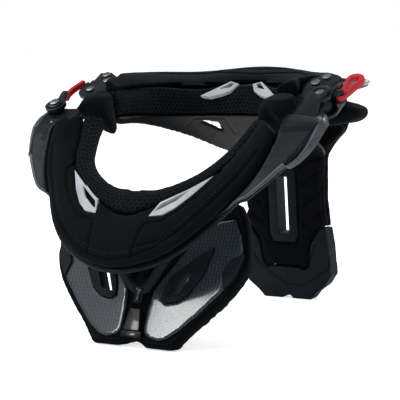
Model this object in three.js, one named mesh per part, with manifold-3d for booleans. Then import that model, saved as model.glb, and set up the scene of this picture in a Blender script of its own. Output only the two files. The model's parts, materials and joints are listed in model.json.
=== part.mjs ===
// Motocross neck brace, in millimetres: +Z up, the wearer faces -Y and the wearer's left is +X.
// It stands on the two lobes of its chest pad and on the foot cap of its back plate.
import * as THREE from 'three';
import { mergeVertices } from 'three/addons/utils/BufferGeometryUtils.js';
import Module from 'manifold-3d';

const wasm = await Module();
wasm.setup();

// Driving dimensions
const halfWidth = 128;            // centre line to the outer edge of an arm
const frontReach = 134;           // hinge line to the front edge of the front pad
const rearReach = 180;            // hinge line to the back face of the back plate
const braceHeight = 221;          // floor to the crest of the rear pad
const gap = 0.4;                  // clearance between two pieces that touch on the real brace
const frontPadDepth = 15;         // foam at the collar side of the front pad
const frontRimDepth = 9;          // foam at its outer border
const collarDrop = 12;            // height of the inner wall of the front collar roll
const frameWall = 4;              // moulded wall under the pads
const armWall = 6;                // moulded wall of the two arms
const lipWidth = 3;               // bright trim on the edge of an arm
const lipHeight = 8;              // height of that trim
const rearCollarWall = 9;         // foam of the rear collar
const rearPadDepth = 12;          // foam of the rear pad
const rearShellWall = 3.5;        // moulded wall between the rear collar and the back plate
const chestLean = 24;             // degrees that the chest plates lean back from upright
const chestPadDepth = 10;         // foam behind the chest plates
const chestPlateWall = 3;         // moulded chest plates
const backLean = 5;               // degrees that the back plate leans
const backPadDepth = 11;          // foam on the wearer's side of the back plate
const backShellWall = 4;          // moulded back plate
const ringTilt = 30;              // degrees that the hinge plane slopes down to the front
const hingeReach = 111;           // centre line to each hinge screw
const barrelRadius = 7.5;         // round ends of the arms, inside the clevises
const barrelHeight = 13.2;        // height of those round ends
const clevisPlate = 3;            // top and bottom plates of a clevis
const clevisWall = 2.8;           // outer wall of a clevis
const screwRadius = 3.6;          // heads of the hinge screws
const screwHead = 1.2;            // height of those heads
const knobRadius = 6.6;           // latch knob post
const knobTop = 9;                // top of that post above the hinge plane
const linkFloor = 2.2;            // underside of the latch lever above the hinge plane
const leverReach = 27;            // knob to the far end of the lever's link
const leverWall = 4;              // height of the release loop in the hinge plane
const insertDepth = 2.6;          // bright inserts: part below the pad surface
const insertRise = 1.2;           // part above it
const alongSteps = 28;            // sections along each pad
const through = 80;               // depth of the cuts that go right through a wall

const rad = THREE.MathUtils.degToRad;
const brace = new THREE.Group();

// A point from its shares of the half width, of the reach to its side and of the height.
function at([x, y, z]) {
  return new THREE.Vector3(x * halfWidth, y * (y < 0 ? frontReach : rearReach), z * braceHeight);
}

const move = (point, direction, distance) => point.clone().addScaledVector(direction, distance);
const flip = (point) => new THREE.Vector3(-point.x, point.y, point.z);

// Material of a piece: colour, roughness and metalness.
function finish(color, roughness, metalness = 0) {
  return new THREE.MeshStandardMaterial({ color, roughness, metalness });
}

const padCloth = finish(0x14181e, 0.9);
const meshCloth = finish(0x101318, 0.95);
const carbon = finish(0x2a2f35, 0.3);
const moulded = finish(0x1a1e23, 0.45);
const rubber = finish(0x22272e, 0.75);
const silver = finish(0xbec3cd, 0.35, 0.3);
const steel = finish(0x8f949a, 0.35, 0.9);
const redPlastic = finish(0xe0303a, 0.4);

// Solid and geometry conversions for the boolean cuts and joins.
function toSolid(geometry) {
  const plain = geometry.clone();
  plain.deleteAttribute('normal');
  plain.deleteAttribute('uv');
  const merged = mergeVertices(plain, 1e-4);
  return new wasm.Manifold(new wasm.Mesh({
    numProp: 3,
    vertProperties: new Float32Array(merged.attributes.position.array),
    triVerts: new Uint32Array(merged.index.array),
  }));
}

function toGeometry(solid) {
  const mesh = solid.getMesh();
  const geometry = new THREE.BufferGeometry();
  geometry.setAttribute('position', new THREE.BufferAttribute(new Float32Array(mesh.vertProperties), 3));
  geometry.setIndex(new THREE.BufferAttribute(new Uint32Array(mesh.triVerts), 1));
  return geometry;
}

const joined = (...parts) => toGeometry(parts.map(toSolid).reduce((sum, part) => sum.add(part)));
// A body less its tools. The second pass drops the flat bits that share vertices with the body.
function cut(body, ...tools) {
  const rest = tools.map(toSolid).reduce((solid, tool) => solid.subtract(tool), toSolid(body));
  return mainBody(toGeometry(toSolid(mainBody(toGeometry(rest)))));
}

// The largest of the loose bodies of a geometry, without the slivers that a cut can leave.
function mainBody(geometry) {
  const index = geometry.index.array;
  const owner = Array.from({ length: geometry.attributes.position.count }, (_, i) => i);
  const root = (i) => {
    while (owner[i] !== i) i = owner[i];
    return i;
  };
  for (let i = 0; i < index.length; i += 3) {
    owner[root(index[i + 1])] = root(index[i]);
    owner[root(index[i + 2])] = root(index[i]);
  }
  const bodies = new Map();
  for (let i = 0; i < index.length; i += 3) {
    const key = root(index[i]);
    bodies.set(key, [...(bodies.get(key) ?? []), index[i], index[i + 1], index[i + 2]]);
  }
  const pieces = [...bodies.values()].map((faces) => geometry.clone().setIndex(faces));
  return mergeVertices(pieces.sort((a, b) => signedVolume(b) - signedVolume(a))[0]);
}

// The part of a body above the floor.
function aboveFloor(body) {
  const side = 4 * (frontReach + rearReach);
  return cut(body, new THREE.BoxGeometry(side, side, side).translate(0, 0, -side / 2));
}

// A body with every vertex moved outward, which cuts a clearance into its neighbour.
function swollen(geometry, distance) {
  const plain = geometry.clone();
  plain.deleteAttribute('normal');
  plain.deleteAttribute('uv');
  const body = mergeVertices(plain, 1e-4);
  body.computeVertexNormals();
  const { position, normal } = body.attributes;
  const point = new THREE.Vector3();
  for (let i = 0; i < position.count; i += 1) {
    point.fromBufferAttribute(position, i)
      .addScaledVector(new THREE.Vector3().fromBufferAttribute(normal, i), distance);
    position.setXYZ(i, point.x, point.y, point.z);
  }
  return body;
}

// A body cut back to stand clear of its neighbours.
const clearOf = (body, ...neighbours) => cut(body, ...neighbours.flatMap((other) =>
  [swollen(other, gap), other]));

// The mirror image of a geometry across the centre plane, still facing outward.
function mirrored(geometry) {
  const copy = geometry.clone().scale(-1, 1, 1);
  if (!copy.index) {
    copy.deleteAttribute('normal');
    copy.deleteAttribute('uv');
    return mirrorIndex(mergeVertices(copy, 1e-4));
  }
  return mirrorIndex(copy);
}

function mirrorIndex(geometry) {
  const index = geometry.index.array.slice();
  for (let i = 0; i < index.length; i += 3) {
    [index[i + 1], index[i + 2]] = [index[i + 2], index[i + 1]];
  }
  geometry.setIndex(new THREE.BufferAttribute(index, 1));
  return geometry;
}

function add(name, geometry, material, parent = brace) {
  const mesh = new THREE.Mesh(geometry, material.clone());
  mesh.name = name;
  parent.add(mesh);
  return mesh;
}

// Smooth lines through a list of sections: control point k of every section lies on one line.
function sectionsThrough(sections, count) {
  const lines = sections[0].map((_, k) => new THREE.CatmullRomCurve3(
    sections.map((section) => section[k]), false, 'centripetal').getPoints(count));
  return Array.from({ length: count + 1 }, (_, i) => lines.map((line) => line[i]));
}

// A smooth open curve through points, as a list of points.
function rounded(points, count) {
  return new THREE.CatmullRomCurve3(points, false, 'centripetal').getPoints(count);
}

// A closed body through section loops, with flat-filled ends.
function loft(sections) {
  const around = sections[0].length;
  const points = sections.flat();
  const faces = [];
  for (let i = 0; i < sections.length - 1; i += 1) {
    for (let k = 0; k < around; k += 1) {
      const a = i * around + k;
      const b = i * around + (k + 1) % around;
      faces.push(a, b, a + around, b, b + around, a + around);
    }
  }
  faces.push(...capFaces(sections[0], 0, true));
  faces.push(...capFaces(sections.at(-1), (sections.length - 1) * around, false));
  const geometry = new THREE.BufferGeometry().setFromPoints(points);
  geometry.setIndex(faces);
  return signedVolume(geometry) < 0 ? mirrorIndex(geometry) : geometry;
}

function capFaces(loop, first, reversed) {
  const centre = loop.reduce((sum, p) => sum.add(p), new THREE.Vector3()).divideScalar(loop.length);
  const normal = new THREE.Vector3();
  loop.forEach((p, k) => {
    const q = loop[(k + 1) % loop.length];
    normal.add(p.clone().sub(centre).cross(q.clone().sub(centre)));
  });
  normal.normalize();
  const u = loop[1].clone().sub(loop[0]).projectOnPlane(normal).normalize();
  const v = normal.clone().cross(u);
  const flat = loop.map((p) => new THREE.Vector2(p.clone().sub(centre).dot(u), p.clone().sub(centre).dot(v)));
  return THREE.ShapeUtils.triangulateShape(flat, []).flatMap(([a, b, c]) =>
    (reversed ? [first + a, first + c, first + b] : [first + a, first + b, first + c]));
}

function signedVolume(geometry) {
  const p = geometry.attributes.position;
  const point = (i) => new THREE.Vector3().fromBufferAttribute(p, geometry.index.array[i]);
  let volume = 0;
  for (let i = 0; i < geometry.index.count; i += 3) {
    volume += point(i).dot(point(i + 1).cross(point(i + 2)));
  }
  return volume;
}

// A slab from an outline of [x, y] points, with slots, standing on its own plane.
function slab(outline, depth, slots = []) {
  const shape = new THREE.Shape(outline.map(([x, y]) => new THREE.Vector2(x, y)));
  slots.forEach((slot) => shape.holes.push(new THREE.Path(slot.map(([x, y]) => new THREE.Vector2(x, y)))));
  return new THREE.ExtrudeGeometry(shape, { depth, bevelEnabled: false });
}

// A closed smooth outline through a few [x, y] points.
function smoothOutline(points, count) {
  const curve = new THREE.CatmullRomCurve3(points.map(([x, y]) => new THREE.Vector3(x, y, 0)), true,
    'centripetal');
  return curve.getPoints(count).slice(0, -1).map((p) => [p.x, p.y]);
}

// The same outline moved outward by a distance along its corner normals.
function grown(outline, distance) {
  const count = outline.length;
  const turn = Math.sign(THREE.ShapeUtils.area(outline.map(([x, y]) => new THREE.Vector2(x, y))));
  return outline.map(([x, y], k) => {
    const [px, py] = outline[(k + count - 1) % count];
    const [nx, ny] = outline[(k + 1) % count];
    const before = new THREE.Vector2(y - py, px - x).normalize();
    const after = new THREE.Vector2(ny - y, x - nx).normalize();
    const corner = before.add(after);
    const scale = 2 * turn * distance / corner.lengthSq();
    return [x + corner.x * scale, y + corner.y * scale];
  });
}

// Front half: sections from the centre to the wearer's left, as shares for at().
// hole: crest of the collar roll; seam: where collar and pad meet; rim: pad border; edge: frame edge
const frontRows = [
  { hole: [0, -0.649, 0.568], seam: [0, -0.799, 0.491],
    rim: [0, -0.978, 0.324], edge: [0, -0.985, 0.296] },
  { hole: [0.172, -0.631, 0.577], seam: [0.203, -0.746, 0.523],
    rim: [0.297, -0.933, 0.364], edge: [0.305, -0.933, 0.342] },
  { hole: [0.344, -0.552, 0.615], seam: [0.383, -0.664, 0.575],
    rim: [0.5, -0.843, 0.446], edge: [0.547, -0.813, 0.455] },
  { hole: [0.445, -0.463, 0.661], seam: [0.531, -0.567, 0.636],
    rim: [0.648, -0.694, 0.55], edge: [0.773, -0.649, 0.559] },
  { hole: [0.5, -0.366, 0.706], seam: [0.602, -0.433, 0.71],
    rim: [0.75, -0.575, 0.645], edge: [0.93, -0.493, 0.663] },
  { hole: [0.539, -0.269, 0.758], seam: [0.648, -0.321, 0.774],
    rim: [0.789, -0.463, 0.74], edge: [1.008, -0.351, 0.744] },
  { hole: [0.555, -0.194, 0.799], seam: [0.664, -0.269, 0.812],
    rim: [0.797, -0.403, 0.785], edge: [1.023, -0.246, 0.794] },
];

// Both sides of a half, from the wearer's right to the wearer's left, as points.
function bothSides(rows) {
  const left = rows.map((row) => Object.fromEntries(
    Object.entries(row).map(([name, share]) => [name, at(share)])));
  const right = left.slice(1).reverse().map((row) => Object.fromEntries(
    Object.entries(row).map(([name, point]) => [name, flip(point)])));
  return [...right, ...left];
}

// Each front section with the direction down its slope and the direction out of its surface.
function framed(rows) {
  return rows.map((row, i) => {
    const before = rows[Math.max(i - 1, 0)].seam;
    const after = rows[Math.min(i + 1, rows.length - 1)].seam;
    const along = after.clone().sub(before).normalize();
    const down = row.rim.clone().sub(row.seam).normalize();
    const out = down.clone().cross(along).normalize();
    return { ...row, along, down, out: out.multiplyScalar(Math.sign(out.z)) };
  });
}

const frontSections = framed(bothSides(frontRows));

function frontCollarLoop({ hole, seam, down, out }) {
  const bulge = move(hole.clone().lerp(seam, 0.5), out, 2.5);
  const inner = new THREE.Vector3(0, 0, -1);
  const foot = move(hole, inner, collarDrop);
  const wall = move(hole, inner, collarDrop * 0.45).addScaledVector(down, -1);
  return [...rounded([seam, bulge, hole, wall, foot], 8), move(seam, out, -frontPadDepth)];
}

function frontPadLoop({ seam, rim, down, out }) {
  const start = move(seam, down, gap);
  const crown = move(start.clone().lerp(rim, 0.45), out, 3);
  const edge = move(rim, out, -frontRimDepth * 0.45).addScaledVector(down, 2.5);
  return [...rounded([start, crown, rim, edge, move(rim, out, -frontRimDepth)], 9),
    move(start, out, -frontPadDepth)];
}

// Bright inserts: a window-shaped slab on a plane, and the recess it sits in.
function insert(outline, hole, place) {
  return slab(outline, insertDepth + insertRise, [hole]).translate(0, 0, -insertDepth)
    .applyMatrix4(place);
}

function recess(outline, place) {
  const depth = insertDepth + gap;
  return slab(grown(outline, gap), 5 * insertDepth).translate(0, 0, -depth).applyMatrix4(place);
}

const frontInsertLean = 44.4;
const frontInsertPlace = new THREE.Matrix4().makeRotationX(rad(frontInsertLean))
  .setPosition(at([0, -0.724, 0.532]));
const acrossFront = (rows) => rows.map(([x, y]) => [x * halfWidth, y * frontReach]);
const frontInsertOutline = acrossFront([[0.508, 0.197], [0.375, 0.087], [0.227, -0.016], [0.191, -0.122],
  [0.281, -0.105], [0.348, -0.05], [0.422, 0.047]]);
const frontInsertHole = acrossFront([[0.213, -0.084], [0.24, -0.028], [0.383, 0.077], [0.332, 0.002],
  [0.244, -0.067]]);
const frontInsert = insert(frontInsertOutline, frontInsertHole, frontInsertPlace);
const frontRecess = recess(frontInsertOutline, frontInsertPlace);

const alongLoft = (sections, loop) => loft(sectionsThrough(sections.map(loop), alongSteps));
const frontCollar = cut(alongLoft(frontSections, frontCollarLoop), frontRecess, mirrored(frontRecess));
const frontPad = clearOf(cut(alongLoft(frontSections, frontPadLoop), frontRecess,
  mirrored(frontRecess)), frontCollar);
add('front_collar', frontCollar, meshCloth);
add('front_insert_left', frontInsert, silver);
add('front_insert_right', mirrored(frontInsert), silver);

// The moulded tray below the front pad.
const trayReach = 3.5;            // least that the tray stands out past the border of the pad
function trayLoop({ seam, rim, edge, down, out }) {
  const inner = move(seam, out, -frontPadDepth - gap).addScaledVector(down, gap);
  const outer = move(rim, out, -frontRimDepth - gap);
  const reach = Math.max(edge.clone().sub(rim).dot(down) * 0.5 - 1, trayReach);
  const end = move(outer, down, reach);
  return [inner, outer, end, move(end, out, -frameWall), move(inner, out, -frameWall)];
}

// An arm: inner and outer edges from beside the pad to its round end at the hinge.
const armTail = [
  { inner: [0.766, -0.179, 0.821], edge: [1, -0.134, 0.817] },
  { inner: [0.789, -0.045, 0.824], edge: [0.945, -0.045, 0.821] },
];

function armSections() {
  const beside = frontSections.slice(-4).map(({ rim, edge, down, out }) => ({
    inner: move(rim, down, trayReach * 0.3).addScaledVector(out, -frontRimDepth * 0.6), edge, out,
  }));
  const tail = armTail.map((row) => ({ inner: at(row.inner), edge: at(row.edge), out: hingeNormal }));
  return [...beside, ...tail];
}

const hingeNormal = new THREE.Vector3(0, -Math.sin(rad(ringTilt)), Math.cos(rad(ringTilt)));

// Places things that sit on the hinge plane: x outward, y to the rear, z out of the plane.
const hingeShare = [hingeReach / halfWidth, 0.067, 0.892];
const hingePlace = new THREE.Matrix4().makeRotationX(rad(ringTilt)).setPosition(at(hingeShare));

function hingeCylinder(radius, height, [x, y], top, segments = 28) {
  return new THREE.CylinderGeometry(radius, radius, height, segments).rotateX(Math.PI / 2)
    .translate(x, y, top - height / 2);
}

function hingeBox([x0, x1], [y0, y1], [z0, z1]) {
  return new THREE.BoxGeometry(x1 - x0, y1 - y0, z1 - z0)
    .translate((x0 + x1) / 2, (y0 + y1) / 2, (z0 + z1) / 2);
}

// Hardware in the hinge plane on the wearer's left; the other side is its mirror image.
const sides = [['left', (geometry) => geometry.clone()], ['right', mirrored]];
const hardware = (geometry, turn) => turn(geometry.clone().applyMatrix4(hingePlace));
const flangeOutline = [[4.8, 4.2], [4.5, 27], [-6, 28], [-16, 21], [-20, 11], [-16.4, 0.3],
  [-20.2, -5], [-16.7, -11.7], [-3.6, -15.4], [2.5, -9.3], [6, -3]];
const barrelTop = -clevisPlate - gap;
const knobSpot = [13, -35];
const armRows = armSections();
const armBody = loft(sectionsThrough(armRows.map(({ inner, edge, out }) =>
  [inner, edge, move(edge, out, -armWall), move(inner, out, -armWall)]), 14));
const neckReach = 18;             // room that the neck of an arm needs in front of its hinge
const armNeck = hingeBox([-5, 5], [-neckReach - 8, 0], [barrelTop - barrelHeight + 2, barrelTop - 2])
  .applyMatrix4(hingePlace);
const barrel = hingeCylinder(barrelRadius, barrelHeight, [0, 0], barrelTop).applyMatrix4(hingePlace);
const landing = hingeCylinder(leverReach, through, knobSpot, linkFloor - 2 * gap + through);
const knobSeat = joined(hingeCylinder(knobRadius + gap, through, knobSpot, through / 2), landing)
  .applyMatrix4(hingePlace);
const pinHole = hingeCylinder(screwRadius * 0.6 + gap, through, [0, 0], through / 2, 20)
  .applyMatrix4(hingePlace);
const arm = cut(joined(armBody, armNeck, barrel), pinHole);
const armWithSeat = cut(arm, knobSeat);

// A straight bar between two points, square to the centre plane as far as its slope allows.
function bar(from, to, width, depth) {
  const along = to.clone().sub(from);
  const side = new THREE.Vector3(1, 0, 0).projectOnPlane(along).normalize();
  const basis = new THREE.Matrix4().makeBasis(side, along.clone().normalize(),
    side.clone().cross(along).normalize());
  return new THREE.BoxGeometry(width, along.length(), depth).applyMatrix4(basis)
    .translate(...from.clone().add(to).multiplyScalar(0.5).toArray());
}

// Chest plates: a leaning plane with x across, y up the plate and z out of its front.
const chestPlace = new THREE.Matrix4().makeRotationX(rad(90 - chestLean))
  .setPosition(0, -0.753 * frontReach, 0);
const plateWidth = 0.727 * halfWidth;
const plateHeight = 0.62 * braceHeight;
const onPlate = (rows) => rows.map(([x, y]) => [x * plateWidth, y * plateHeight]);
const opposite = (rows) => rows.map(([x, y]) => [-x, y]);

const chestHalf = onPlate([[0, 0.05], [0.08, 0.035], [0.14, 0.005], [0.2, -0.02], [0.33, -0.02],
  [0.42, 0.02], [0.53, 0.115], [0.66, 0.205], [0.79, 0.3], [0.875, 0.375], [0.94, 0.45], [0.97, 0.515],
  [0.97, 0.585], [0.93, 0.7], [0.87, 0.815], [0.78, 0.905], [0.55, 0.87], [0.3, 0.78], [0, 0.7]]);
const chestOutline = [...chestHalf, ...opposite(chestHalf.slice(1, -1)).reverse()];
const plateOutline = onPlate([[0.11, 0.122], [0.12, 0.097], [0.17, 0.074], [0.26, 0.059],
  [0.33, 0.071], [0.44, 0.124], [0.61, 0.241], [0.77, 0.366], [0.87, 0.468], [0.91, 0.548],
  [0.9, 0.628], [0.855, 0.71], [0.77, 0.802], [0.64, 0.782], [0.5, 0.73], [0.4, 0.628], [0.27, 0.495],
  [0.18, 0.41], [0.13, 0.343], [0.115, 0.255]]);
const frameOutline = onPlate([[0.235, 0.301], [0.25, 0.373], [0.28, 0.438], [0.45, 0.54],
  [0.635, 0.628], [0.58, 0.468], [0.47, 0.336], [0.376, 0.291], [0.28, 0.281]]);
const slotOutline = onPlate([[0.275, 0.325], [0.39, 0.34], [0.475, 0.46], [0.355, 0.452]]);
const wedgeOutline = onPlate([[0.925, 0.6], [0.81, 0.56], [0.76, 0.48], [0.785, 0.43], [0.8, 0.388],
  [0.885, 0.475]]);

const windowCut = slab(grown(frameOutline, gap), through).translate(0, 0, -through / 2);
const chestFoam = slab(chestOutline, chestPadDepth).translate(0, 0, -chestPadDepth - gap);
add('chest_backing', aboveFloor(cut(chestFoam, windowCut, mirrored(windowCut)).applyMatrix4(chestPlace)),
  padCloth);
const wedgeCut = slab(grown(wedgeOutline, gap), through).translate(0, 0, -through / 2);
const plateBody = cut(slab(plateOutline, chestPlateWall), windowCut, wedgeCut);
const windowFrame = slab(frameOutline, chestPadDepth + gap + chestPlateWall + 1.2, [slotOutline])
  .translate(0, 0, -chestPadDepth - gap);
const wedgeBody = slab(wedgeOutline, chestPlateWall + 1);

// The straps, webs and spine that carry the chest plates below the front pad.
const onChest = (x, y, z) => new THREE.Vector3(x * plateWidth, y * plateHeight, z)
  .applyMatrix4(chestPlace);
const trayFoot = (index) => {
  const { seam, rim, out } = frontSections[frontRows.length - 1 + index];
  return move(seam.clone().lerp(rim, 0.3), out, -frontPadDepth - frameWall * 0.4);
};
const spineWidth = 0.085 * plateWidth;
const spineBase = 3;
const strutWidth = 8;
const strut = bar(onChest(0.05, 0.34, spineBase), trayFoot(2), strutWidth, 5);
const web = bar(onChest(0, 0.5, spineBase), trayFoot(0), strutWidth, 6);
const spine = slab([[-spineWidth / 2, 0.26 * plateHeight], [spineWidth / 2, 0.26 * plateHeight],
  [spineWidth / 2, 0.55 * plateHeight], [-spineWidth / 2, 0.55 * plateHeight]], 2 * spineBase)
  .applyMatrix4(chestPlace);
const trayBody = alongLoft(frontSections, trayLoop);
const keepClear = [plateBody, mirrored(plateBody)].map((body) => body.clone().applyMatrix4(chestPlace));
const carrier = clearOf(joined(strut, mirrored(strut), web, spine), ...keepClear);
const frameSolid = clearOf(joined(trayBody, arm, mirrored(armWithSeat), carrier), frontPad,
  frontCollar);
add('front_frame', frameSolid, carbon);

for (const [side, turn] of sides) {
  add(`chest_plate_${side}`, turn(plateBody).applyMatrix4(chestPlace), carbon);
  add(`chest_window_frame_${side}`, turn(windowFrame).applyMatrix4(chestPlace), rubber);
  add(`chest_wedge_${side}`, turn(wedgeBody).applyMatrix4(chestPlace), moulded);
}

add('front_pad', frontPad, padCloth);

// Rear half: sections from the centre to the wearer's left.
// lower, upper: collar foot and top; seam: crest of the pad; rim: pad border; edge: frame edge;
// foot: lower border of the shell that reaches down to the back plate
const rearRows = [
  { lower: [0, 0.456, 0.785], upper: [0, 0.483, 0.903], seam: [0, 0.578, 0.939],
    rim: [0, 0.744, 0.971], edge: [0, 0.822, 0.934], foot: [0, 0.872, 0.595] },
  { lower: [0.297, 0.406, 0.785], upper: [0.32, 0.433, 0.885], seam: [0.375, 0.511, 0.921],
    rim: [0.469, 0.667, 0.948], edge: [0.547, 0.722, 0.925], foot: [0.344, 0.839, 0.6] },
  { lower: [0.484, 0.278, 0.787], upper: [0.516, 0.294, 0.898], seam: [0.609, 0.344, 0.939],
    rim: [0.75, 0.467, 0.948], edge: [0.906, 0.5, 0.925], foot: [0.469, 0.511, 0.69] },
  { lower: [0.562, 0.1, 0.794], upper: [0.594, 0.106, 0.9], seam: [0.68, 0.122, 0.95],
    rim: [0.828, 0.178, 0.939], edge: [1.008, 0.289, 0.921], foot: [0.547, 0.167, 0.758] },
  { lower: [0.566, -0.022, 0.794], upper: [0.594, -0.022, 0.898], seam: [0.672, -0.022, 0.939],
    rim: [0.758, 0.011, 0.912], edge: [0.836, 0.1, 0.898], foot: [0.562, 0.011, 0.762] },
];

const rearSections = framed(bothSides(rearRows));
const outward = ({ upper, seam }) => new THREE.Vector3(seam.x - upper.x, seam.y - upper.y, 0).normalize();
const up = new THREE.Vector3(0, 0, 1);

function rearCollarLoop(row) {
  const back = outward(row);
  const belly = move(row.lower.clone().lerp(row.upper, 0.5), back, -1.2);
  return [...rounded([row.lower, belly, row.upper], 6), move(row.upper, back, rearCollarWall),
    move(row.lower, back, rearCollarWall)];
}

function rearPadLoop({ upper, seam, rim, down, out }) {
  const start = move(upper, up, gap);
  const side = move(rim, out, -rearPadDepth * 0.45).addScaledVector(down, 2.5);
  return [...rounded([start, seam, rim, side, move(rim, out, -rearPadDepth)], 8),
    move(start, down, rearCollarWall)];
}

function rearTrayLoop(row) {
  const back = outward(row);
  const inner = move(row.upper, back, rearCollarWall + gap);
  const under = move(row.rim, row.out, -rearPadDepth - gap);
  const lip = move(row.rim, row.down, 3.4).addScaledVector(row.out, -rearPadDepth * 0.4);
  return [inner, under, lip, row.edge, move(row.edge, up, -frameWall), move(under, up, -frameWall),
    move(inner, up, -frameWall)];
}

// The shell runs up behind the collar and slopes from the collar's foot down to the back plate.
function rearShellLoop(row) {
  const back = outward(row);
  const top = move(row.lower, up, -gap);
  const slope = row.foot.clone().sub(top);
  const thick = slope.clone().cross(row.along).normalize();
  thick.multiplyScalar(Math.sign(thick.dot(back)) || 1);
  const ribTop = move(row.upper, back, rearCollarWall + gap).addScaledVector(up, -frameWall - 2 * gap);
  const ribFoot = move(top, back, rearCollarWall + gap);
  return [top, row.foot, move(row.foot, thick, rearShellWall),
    move(ribFoot, back, rearShellWall).addScaledVector(up, -rearShellWall),
    move(ribTop, back, rearShellWall), ribTop, ribFoot];
}

const rearInsertPlace = new THREE.Matrix4().makeRotationX(rad(45))
  .premultiply(new THREE.Matrix4().makeRotationZ(rad(-8)))
  .setPosition(at([0.158, 0.475, 0.889]));
const rearInsertOutline = [[18.6, -10.5], [-5.5, 6.9], [-14, 3.9], [-8.1, -4.2], [-0.1, -8.4], [8.5, -11.2]];
const rearInsertHole = [[2.5, -2.1], [-6.2, 5.2], [-9.5, 4.4], [-6.5, -0.2]];
const rearInsert = insert(rearInsertOutline, rearInsertHole, rearInsertPlace);
const rearRecess = recess(rearInsertOutline, rearInsertPlace);

const flangeRoom = slab(grown(flangeOutline, 2 * gap), through).translate(0, 0, -through / 2);
const rearPad = cut(alongLoft(rearSections, rearPadLoop), rearRecess, mirrored(rearRecess),
  ...sides.map(([, turn]) => hardware(flangeRoom, turn)));
const rearCollar = clearOf(cut(alongLoft(rearSections, rearCollarLoop), rearRecess,
  mirrored(rearRecess)), rearPad);
add('rear_pad', rearPad, padCloth);
add('rear_collar', rearCollar, meshCloth);
add('rear_insert_left', rearInsert, silver);
add('rear_insert_right', mirrored(rearInsert), silver);

// Back plate: a leaning plane with x across, y up the plate and z toward the wearer.
const backPlace = new THREE.Matrix4().makeRotationX(rad(90 + backLean)).setPosition(0, rearReach, 0);
const backWidth = 0.5 * halfWidth;
const backHeight = 0.77 * braceHeight;
const onBack = (rows) => rows.map(([x, y]) => [x * backWidth, y * backHeight]);
const backHalf = onBack([[0, 0.03], [0.07, 0.028], [0.14, -0.03], [0.27, -0.03], [0.44, 0.045],
  [0.6, 0.09], [0.7, 0.145], [0.68, 0.3], [0.645, 0.4], [0.625, 0.56], [0.64, 0.72], [0.66, 0.79],
  [0.75, 0.84], [0.86, 0.885], [0.94, 0.915], [1, 0.96], [0.98, 1], [0.5, 1.02], [0, 1.03]]);
const backOutline = [...backHalf, ...opposite(backHalf.slice(1, -1)).reverse()];
const capHalf = onBack([[0, -0.1], [0.9, -0.1], [0.9, 0.4], [0.56, 0.4], [0.41, 0.31], [0.37, 0.2],
  [0.3, 0.165], [0.24, 0.18], [0, 0.18]]);
const capOutline = [...capHalf, ...opposite(capHalf.slice(1, -1)).reverse()];
const windowOutline = onBack([[-0.17, 0.32], [0.17, 0.32], [0.22, 0.36], [0.22, 0.7], [0.17, 0.735],
  [-0.17, 0.735], [-0.22, 0.7], [-0.22, 0.36]]);
const backSlot = onBack([[-0.085, 0.365], [0.085, 0.365], [0.085, 0.675], [-0.085, 0.675]]);
const backThick = backShellWall + gap + backPadDepth;
const backWindowCut = slab(grown(windowOutline, gap), through).translate(0, 0, -through / 2);
const capBlock = slab(capOutline, backThick + 1.4).translate(0, 0, -0.6);
const capCut = slab(grown(capOutline, gap), through).translate(0, 0, -through / 2);
const backBody = (depth, lift) => cut(slab(backOutline, depth).translate(0, 0, lift), backWindowCut,
  capCut).applyMatrix4(backPlace);
const padTop = slab(onBack([[-1.1, 0.965], [1.1, 0.965], [1.1, 1.1], [-1.1, 1.1]]), 2 * backThick);
const backPad = cut(backBody(backPadDepth, backShellWall + gap), padTop.applyMatrix4(backPlace));
const backCap = aboveFloor(toGeometry(toSolid(slab(grown(backOutline, 0.8), backThick + 1.4)
  .translate(0, 0, -0.6)).intersect(toSolid(capBlock))).applyMatrix4(backPlace));
const backFrame = slab(windowOutline, backThick + 1.2, [backSlot]).applyMatrix4(backPlace);
const backNeck = bar(at([0, 0.912, 0.765]), at([0, 0.72, 0.905]), backWidth, 6);
const trayBase = alongLoft(rearSections, rearTrayLoop);

// The clevises of the rear frame, which hold the round ends of the arms.
const wallOuter = barrelRadius + gap + clevisWall;
const clevisDepth = 2 * clevisPlate + 2 * gap + barrelHeight;
const block = hingeBox([-8, wallOuter], [barrelRadius + gap, 20], [-clevisDepth, -clevisPlate]);
const wall = hingeBox([barrelRadius + gap, wallOuter], [2.5, 12], [-clevisDepth, 0]);
const shelf = hingeCylinder(wallOuter, clevisPlate, [0, 0], -clevisDepth + clevisPlate);
const shelfPad = hingeBox([-8, wallOuter], [0, 20], [-clevisDepth, -clevisDepth + clevisPlate]);
const topPlate = slab(flangeOutline, clevisPlate).translate(0, 0, -clevisPlate);
const topRound = hingeCylinder(wallOuter, clevisPlate, [0, 0], 0);
const clevisBody = joined(topPlate, topRound, block, wall, shelf, shelfPad);
const screwHole = hingeCylinder(screwRadius * 0.6 + gap, through, [0, 0], through / 2, 20);
const flangeScrews = [[-10, 14], [-4, 23]];
const seatDepth = 7;
const flangeSeat = hingeBox([-16, 3], [21, 29], [-clevisPlate - gap - seatDepth, -clevisPlate - gap]);
const seatPlaces = sides.map(([, turn]) => hardware(flangeSeat, turn));

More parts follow.
